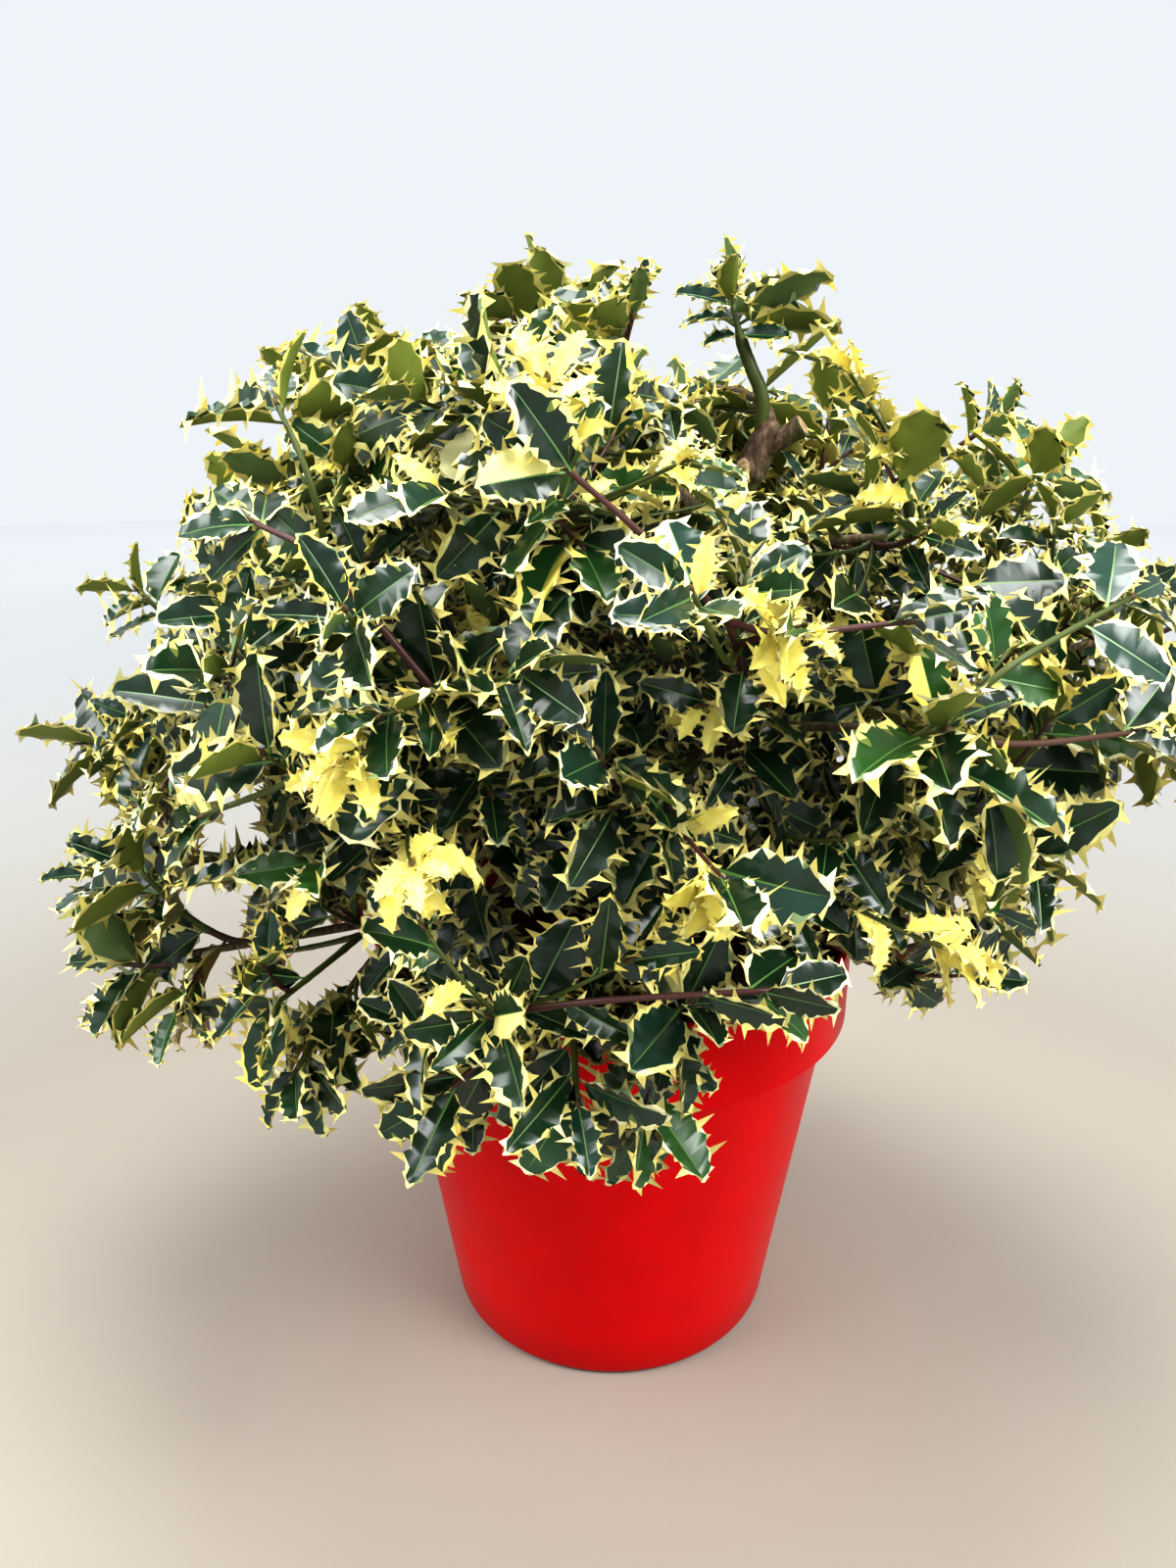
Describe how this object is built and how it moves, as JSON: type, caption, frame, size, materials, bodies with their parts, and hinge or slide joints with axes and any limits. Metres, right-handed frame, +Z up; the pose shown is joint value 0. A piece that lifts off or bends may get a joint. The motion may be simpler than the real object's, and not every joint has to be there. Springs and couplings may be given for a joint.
{
  "type": "potted variegated holly bush",
  "caption": "Round crown of spiny cream-edged evergreen leaves on a short leaning trunk, growing in a round red plastic pot filled with compost.",
  "frame": {"origin": "middle of the pot's flat underside, on the surface that the pot stands on", "axes": "+Z up, +X to the right and +Y to the back as the plant is seen from its front; the trunk leans towards +X"},
  "size_m": [0.7302, 0.5592, 0.6743],
  "materials": {
    "pot": "moulded red plastic with a soft gloss",
    "soil": "dark moist compost",
    "bark": "rough grey-brown bark",
    "foliage": "glossy dark green leaves with cream edges on green twigs"
  },
  "bodies": {
    "root": {"bough_crest": "bark", "bough_low_1": "bark", "bough_low_2": "bark", "bough_low_3": "bark", "bough_low_4": "bark", "bough_low_5": "bark", "bough_low_6": "bark", "bough_low_7": "bark", "bough_middle_1": "bark", "bough_middle_2": "bark", "bough_middle_3": "bark", "bough_middle_4": "bark", "bough_middle_5": "bark", "bough_middle_6": "bark", "bough_middle_7": "bark", "bough_upper_1": "bark", "bough_upper_2": "bark", "bough_upper_3": "bark", "bough_upper_4": "bark", "bough_upper_5": "bark", "foliage_crest": "foliage", "foliage_leader": "foliage", "foliage_low_1": "foliage", "foliage_low_2": "foliage", "foliage_low_3": "foliage", "foliage_low_4": "foliage", "foliage_low_5": "foliage", "foliage_low_6": "foliage", "foliage_low_7": "foliage", "foliage_middle_1": "foliage", "foliage_middle_2": "foliage", "foliage_middle_3": "foliage", "foliage_middle_4": "foliage", "foliage_middle_5": "foliage", "foliage_middle_6": "foliage", "foliage_middle_7": "foliage", "foliage_upper_1": "foliage", "foliage_upper_2": "foliage", "foliage_upper_3": "foliage", "foliage_upper_4": "foliage", "foliage_upper_5": "foliage", "pot": "pot", "soil": "soil", "trunk": "bark"}
  },
  "joints": []
}
